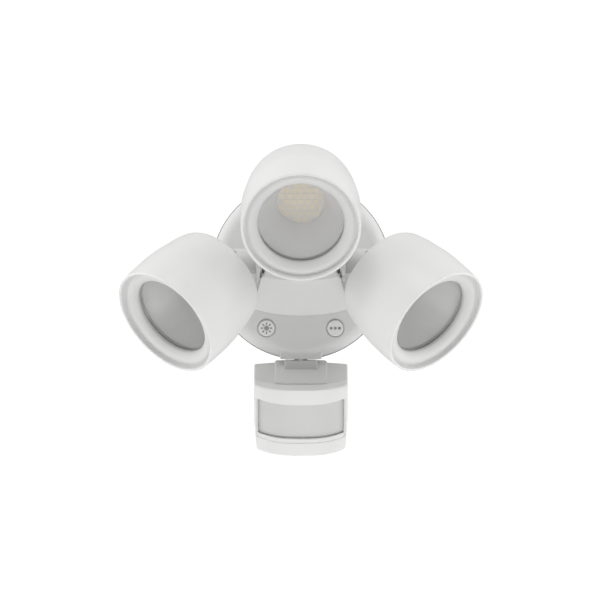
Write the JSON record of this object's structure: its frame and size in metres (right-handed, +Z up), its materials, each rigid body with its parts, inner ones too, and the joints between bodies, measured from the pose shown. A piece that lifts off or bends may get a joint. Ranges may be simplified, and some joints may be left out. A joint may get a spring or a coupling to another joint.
{
  "type": "multi-head floodlight with motion sensor",
  "caption": "Wall floodlight with swivelling round LED lamp heads on a central hub, push buttons on the round canopy and a tilting motion sensor below.",
  "frame": {"origin": "centre of the mounting strap's back face, which is the wall plane", "axes": "+Z up, +Y into the wall, so the fixture stands out towards -Y; +X to the right of a viewer who faces the fixture"},
  "size_m": [0.271, 0.1594, 0.2326],
  "materials": {
    "white_shell": "satin off-white moulding",
    "white_trim": "satin off-white moulding",
    "lamp_glass": "lightly frosted clear lens",
    "pir_film": "milky segmented film",
    "reflector": "satin reflector cone",
    "led": "board with warm phosphor chips",
    "heat_sink": "machined",
    "steel": "zinc plated",
    "rubber": "closed-cell foam and silicone seals",
    "board": "printed circuit board",
    "dark_plastic": "moulded black"
  },
  "bodies": {
    "base": {"mounting_strap": "steel", "wall_gasket": "rubber", "canopy": "white_shell", "canopy_screw_left": "steel", "canopy_screw_right": "steel", "driver_module": "dark_plastic", "terminal_block": "white_trim", "control_board": "board", "hub": "white_shell", "lock_ring_left": "white_trim", "lock_ring_right": "white_trim", "lock_ring_top": "white_trim", "switch_left": "dark_plastic", "switch_right": "dark_plastic"},
    "left_neck": {"neck_left": "white_trim", "tilt_pin_left": "steel"},
    "left_lamp": {"lamp_housing_left": "white_shell", "bezel_left": "white_shell", "lamp_lens_left": "lamp_glass", "lens_seal_left": "rubber", "reflector_left": "reflector", "led_board_left": "led", "heat_sink_left": "heat_sink"},
    "right_neck": {"neck_right": "white_trim", "tilt_pin_right": "steel"},
    "right_lamp": {"lamp_housing_right": "white_shell", "bezel_right": "white_shell", "lamp_lens_right": "lamp_glass", "lens_seal_right": "rubber", "reflector_right": "reflector", "led_board_right": "led", "heat_sink_right": "heat_sink"},
    "top_neck": {"neck_top": "white_trim", "tilt_pin_top": "steel"},
    "top_lamp": {"lamp_housing_top": "white_shell", "bezel_top": "white_shell", "lamp_lens_top": "lamp_glass", "lens_seal_top": "rubber", "reflector_top": "reflector", "led_board_top": "led", "heat_sink_top": "heat_sink"},
    "sensor_swivel": {"sensor_neck": "white_trim", "sensor_pin": "steel"},
    "sensor_head": {"sensor_housing": "white_shell", "sensor_front": "white_shell", "sensor_lens": "pir_film", "sensor_board": "board", "pyro_sensor": "steel"},
    "left_button": {"button_left": "white_trim"},
    "right_button": {"button_right": "white_trim"}
  },
  "joints": [
    {"name": "left_swivel", "type": "hinge", "parent": "base", "child": "left_neck", "pos_m": [-0.0335, -0.0495, 0.0064], "axis": [1, 0, 0], "range_deg": [-70, 12]},
    {"name": "left_tilt", "type": "hinge", "parent": "left_neck", "child": "left_lamp", "pos_m": [-0.0508, -0.0495, 0.0064], "axis": [0, 0.7308, -0.6826], "range_deg": [-4, 45]},
    {"name": "right_swivel", "type": "hinge", "parent": "base", "child": "right_neck", "pos_m": [0.0335, -0.0495, 0.0064], "axis": [1, 0, 0], "range_deg": [-70, 12]},
    {"name": "right_tilt", "type": "hinge", "parent": "right_neck", "child": "right_lamp", "pos_m": [0.0508, -0.0495, 0.0064], "axis": [0, -0.7308, 0.6826], "range_deg": [-4, 45]},
    {"name": "top_swivel", "type": "hinge", "parent": "base", "child": "top_neck", "pos_m": [0, -0.046, 0.025], "axis": [0, 0, 1], "range_deg": [-14, 14]},
    {"name": "top_tilt", "type": "hinge", "parent": "top_neck", "child": "top_lamp", "pos_m": [0, -0.068, 0.067], "axis": [1, 0, 0], "range_deg": [-60, 3]},
    {"name": "sensor_pan", "type": "hinge", "parent": "base", "child": "sensor_swivel", "pos_m": [0, -0.015, -0.067], "axis": [0, 0, 1], "range_deg": [-15, 15]},
    {"name": "sensor_tilt", "type": "hinge", "parent": "sensor_swivel", "child": "sensor_head", "pos_m": [0, -0.015, -0.0766], "axis": [1, 0, 0], "range_deg": [-32, 2]},
    {"name": "left_button_press", "type": "slide", "parent": "base", "child": "left_button", "axis": [0, 1, 0], "range_m": [0, 0.001], "stiffness_N_per_m": 1200},
    {"name": "right_button_press", "type": "slide", "parent": "base", "child": "right_button", "axis": [0, 1, 0], "range_m": [0, 0.001], "stiffness_N_per_m": 1200}
  ]
}
